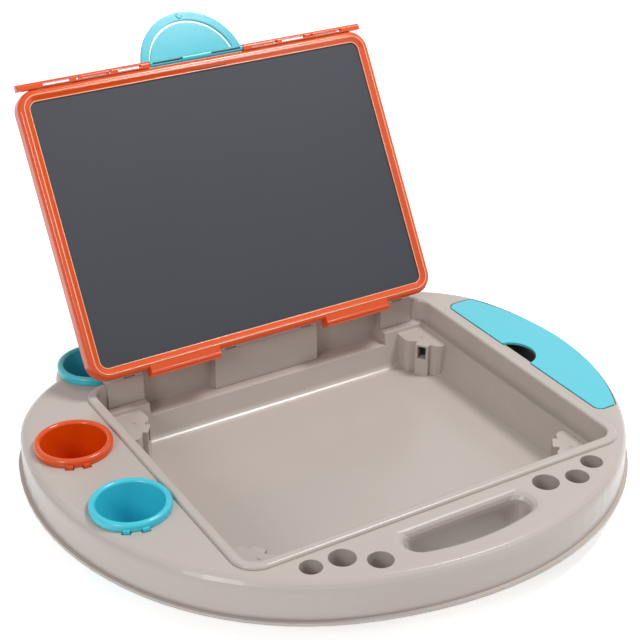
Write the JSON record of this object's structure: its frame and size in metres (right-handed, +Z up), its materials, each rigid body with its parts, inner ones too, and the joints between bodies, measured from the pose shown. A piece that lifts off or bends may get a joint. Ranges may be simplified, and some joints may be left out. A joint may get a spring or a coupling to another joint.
{
  "type": "art table",
  "caption": "Children's art table top: rounded tray with a storage tub, hinged easel lid with a clip, lift-out cups, side compartment, pen wells and sockets for legs.",
  "frame": {"origin": "middle of the tub in plan, at the underside of the tub floor", "axes": "+Z up, +Y toward the hinge of the easel lid, +X toward the side compartment"},
  "size_m": [0.5711, 0.5788, 0.3654],
  "materials": {
    "greige_plastic": "satin",
    "orange_plastic": "gloss",
    "turquoise_plastic": "gloss",
    "aqua_plastic": "gloss",
    "slate_board": "matte",
    "steel": "satin"
  },
  "bodies": {
    "base": {"tray_shell": "greige_plastic", "bottom_panel": "greige_plastic", "storage_tub": "greige_plastic", "hinge_beam": "greige_plastic", "hinge_pin_left": "steel", "hinge_pin_right": "steel", "beam_screws": "steel", "tub_screws": "steel", "base_screws": "steel"},
    "side_lid": {"compartment_lid": "turquoise_plastic"},
    "front_cup": {"cup_front": "aqua_plastic"},
    "middle_cup": {"cup_middle": "orange_plastic"},
    "back_cup": {"cup_back": "aqua_plastic"},
    "easel": {"lid_frame": "orange_plastic", "chalkboard": "slate_board", "desk_panel": "orange_plastic", "lid_screws": "steel", "rail_left": "orange_plastic", "rail_right": "orange_plastic"},
    "clip": {"paper_clip": "turquoise_plastic"}
  },
  "joints": [
    {"name": "easel_hinge", "type": "hinge", "parent": "base", "child": "easel", "pos_m": [0, 0.1434, 0.076], "axis": [1, 0, 0], "range_deg": [0, 120.8]},
    {"name": "clip_hinge", "type": "hinge", "parent": "easel", "child": "clip", "pos_m": [0, 0.29099, 0.33041], "axis": [1, 0, 0], "range_deg": [0, 193]},
    {"name": "side_lid_lift", "type": "slide", "parent": "base", "child": "side_lid", "axis": [0, 0, 1], "range_m": [0, 0.05]},
    {"name": "front_cup_lift", "type": "slide", "parent": "base", "child": "front_cup", "axis": [0, 0, 1], "range_m": [0, 0.07]},
    {"name": "middle_cup_lift", "type": "slide", "parent": "base", "child": "middle_cup", "axis": [0, 0, 1], "range_m": [0, 0.07]},
    {"name": "back_cup_lift", "type": "slide", "parent": "base", "child": "back_cup", "axis": [0, 0, 1], "range_m": [0, 0.03]}
  ]
}
